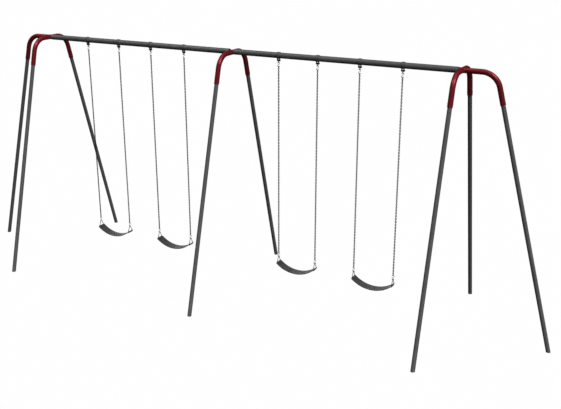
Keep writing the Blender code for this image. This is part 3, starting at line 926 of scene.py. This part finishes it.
def hanger(number, side):
    """Everything from the rail clamp down to the shackle on one side of a swing."""
    swing = "swing_%d" % number
    tag = "%d_%s" % (number, side)
    x = centre_x("pendulum_" + tag)
    pivot, seat = (x, 0, PIVOT_Z), (x, 0, SEAT_Z)
    upper = (x, 0, PIVOT_Z - HOOK_TOP - 2 * HOOK_R)
    lower = (x, 0, SEAT_Z + 2 * HOOK_R)
    place("clamp_%s_casting" % tag, CLAMP_MESH, "frame", "clamp_" + tag, pivot)
    place("pivot_bolt_%s_fine" % tag, BOLT_MESH, "frame", "pivot_bolt_" + tag, pivot)
    place("pendulum_%s_fine" % tag, PENDULUM_MESH, swing, "pendulum_" + tag, pivot)
    place("upper_hook_" + tag, HOOK_MESH, swing, location=upper)
    place("lower_hook_" + tag, HOOK_MESH, swing, location=lower)
    place("chain_%s_links" % tag, CHAIN_MESH, swing, "chain_" + tag, pivot)
    place("shackle_%s_wire" % tag, SHACKLE_MESH, "seat_%d" % number,
          "shackle_" + tag, seat)


def belt_seat(number):
    body, name = "seat_%d" % number, "belt_seat_%d" % number
    middle = (joints["swing_%d_pivot" % number]["pos_m"][0], 0, SEAT_Z)
    place(name + "_rubber", BELT_MESH, body, name, middle)
    place(name + "_rivets", RIVET_MESH, body, location=middle)


for swing_number in (1, 2, 3, 4):
    hanger(swing_number, "left")
    hanger(swing_number, "right")
    belt_seat(swing_number)

# ------------------------------------------------------------------ screws

SCREW_SINK = 0.0004
SLEEVE_SCREW_UP = 0.045     # height above the sleeve's end
RAIL_SCREW_IN = 0.055       # distance in from a rail's end

# (x, radius) profile of a low domed screw head, x outward.
SCREW = [(0.0, 0.0075), (0.0016, 0.0073), (0.0032, 0.0058), (0.0040, 0.0036), (0.0042, 0.0012)]


def screw_pair(point, across, tube_r):
    """Two screws on opposite sides of a tube."""
    pair = []
    for s in (-1, 1):
        normal = across * s
        turn = normal.to_track_quat('X', 'Z').to_matrix().to_4x4()
        spot = Matrix.Translation(point + normal * (tube_r - SCREW_SINK))
        pair.append(moved(lathe_x(SCREW, 20), spot @ turn))
    return pair


def sleeve_screws():
    parts = []
    for x, arm, direction in LEGS.values():
        down = leg_axis(x, arm, direction)[2]
        point = leg_point(x, arm, direction, arm[2] - SLEEVE_SCREW_UP)
        across = down.cross(Vector((*direction, 0.0))).normalized()
        parts += screw_pair(point, across, YOKE_R)
    return parts


def rail_screws():
    parts = []
    for name in ("rail_left", "rail_right"):
        lo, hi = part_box(name)
        for x in (lo.x + RAIL_SCREW_IN, hi.x - RAIL_SCREW_IN):
            parts += screw_pair(Vector((x, 0, RAIL_Z)), Vector((0, 1, 0)), RAIL_R)
    return parts


for name, parts, material, slot in (("sleeve_screws", sleeve_screws(), RED, "red_paint"),
                                    ("rail_screws", rail_screws(), GREY, "grey_paint")):
    place(name, shade(mesh_from(joined(*parts), name), material, 40.0), "frame")

# ------------------------------------------------------------------ stage

BACKDROP = 0.995            # brightness of floor and world seen straight from the camera
WORLD_LIGHT = 0.04          # the world's strength for all other rays


def floor():
    """A wide floor, pale to the camera and dark to every other ray."""
    half, z = 300.0, -0.002
    mesh = bpy.data.meshes.new("floor")
    corners = [(-half, -half, z), (half, -half, z), (half, half, z), (-half, half, z)]
    mesh.from_pydata(corners, [], [(0, 1, 2, 3)])
    ob = bpy.data.objects.new("floor", mesh)
    scene.collection.objects.link(ob)
    mat = bpy.data.materials.new("pale_floor")
    mat.use_nodes = True
    tree = mat.node_tree
    tree.nodes.clear()
    out = tree.nodes.new("ShaderNodeOutputMaterial")
    path = tree.nodes.new("ShaderNodeLightPath")
    pale = tree.nodes.new("ShaderNodeEmission")
    pale.inputs["Strength"].default_value = BACKDROP
    dark = tree.nodes.new("ShaderNodeBsdfDiffuse")
    dark.inputs["Color"].default_value = (0.03, 0.03, 0.03, 1)
    pick = tree.nodes.new("ShaderNodeMixShader")
    tree.links.new(path.outputs["Is Camera Ray"], pick.inputs[0])
    tree.links.new(dark.outputs[0], pick.inputs[1])
    tree.links.new(pale.outputs[0], pick.inputs[2])
    tree.links.new(pick.outputs[0], out.inputs[0])
    mesh.materials.append(mat)


def studio_world():
    world = bpy.data.worlds.new("studio")
    scene.world = world
    world.use_nodes = True
    tree = world.node_tree
    background = tree.nodes["Background"]
    path = tree.nodes.new("ShaderNodeLightPath")
    strength = tree.nodes.new("ShaderNodeMix")
    strength.inputs[2].default_value = WORLD_LIGHT
    strength.inputs[3].default_value = BACKDROP
    tree.links.new(path.outputs["Is Camera Ray"], strength.inputs[0])
    background.inputs["Color"].default_value = (1, 1, 1, 1)
    tree.links.new(strength.outputs[0], background.inputs["Strength"])


# Name, azimuth (0 from the front, 90 from the right), elevation, strength,
# angular width in degrees, whether it shows in reflections.
LIGHTS = (
    ("key_right", 60.0, 52.0, 1.79, 16.0, True),
    ("fill_left", 300.0, 52.0, 0.80, 20.0, True),
    ("low_right", 68.0, 18.0, 1.34, 50.0, False),
    ("low_left", 315.0, 18.0, 0.10, 50.0, False),
    ("rim_left", 225.0, 18.0, 0.83, 24.0, False),
    ("back", 180.0, 30.0, 0.10, 60.0, False),
    ("top", 0.0, 90.0, 0.52, 50.0, True),
)


def soft_light(name, azimuth, elevation, strength, spread, reflected):
    data = bpy.data.lights.new(name, 'SUN')
    data.energy = strength
    data.angle = math.radians(spread)
    ob = bpy.data.objects.new(name, data)
    az, el = math.radians(azimuth), math.radians(elevation)
    aim = Vector((math.cos(el) * math.sin(az), -math.cos(el) * math.cos(az), math.sin(el)))
    ob.rotation_euler = aim.to_track_quat('Z', 'Y').to_euler()
    ob.location = aim * 12.0
    ob.visible_glossy = reflected
    scene.collection.objects.link(ob)


def camera():
    """Looks down from the front right."""
    tilt_down, turn_left = 0.3291, 0.4862       # radians
    data = bpy.data.cameras.new("camera")
    data.sensor_fit = 'HORIZONTAL'
    data.sensor_width = 36.0
    data.lens = 53.28
    data.clip_end = 1000.0
    ob = bpy.data.objects.new("camera", data)
    ob.location = (6.3179, -10.3998, 5.4557)
    ob.rotation_euler = (math.pi / 2 - tilt_down, 0.0, turn_left)
    scene.collection.objects.link(ob)
    scene.camera = ob


floor()
studio_world()
for entry in LIGHTS:
    soft_light(*entry)
camera()
scene.view_settings.view_transform = 'Standard'

bpy.context.view_layer.update()
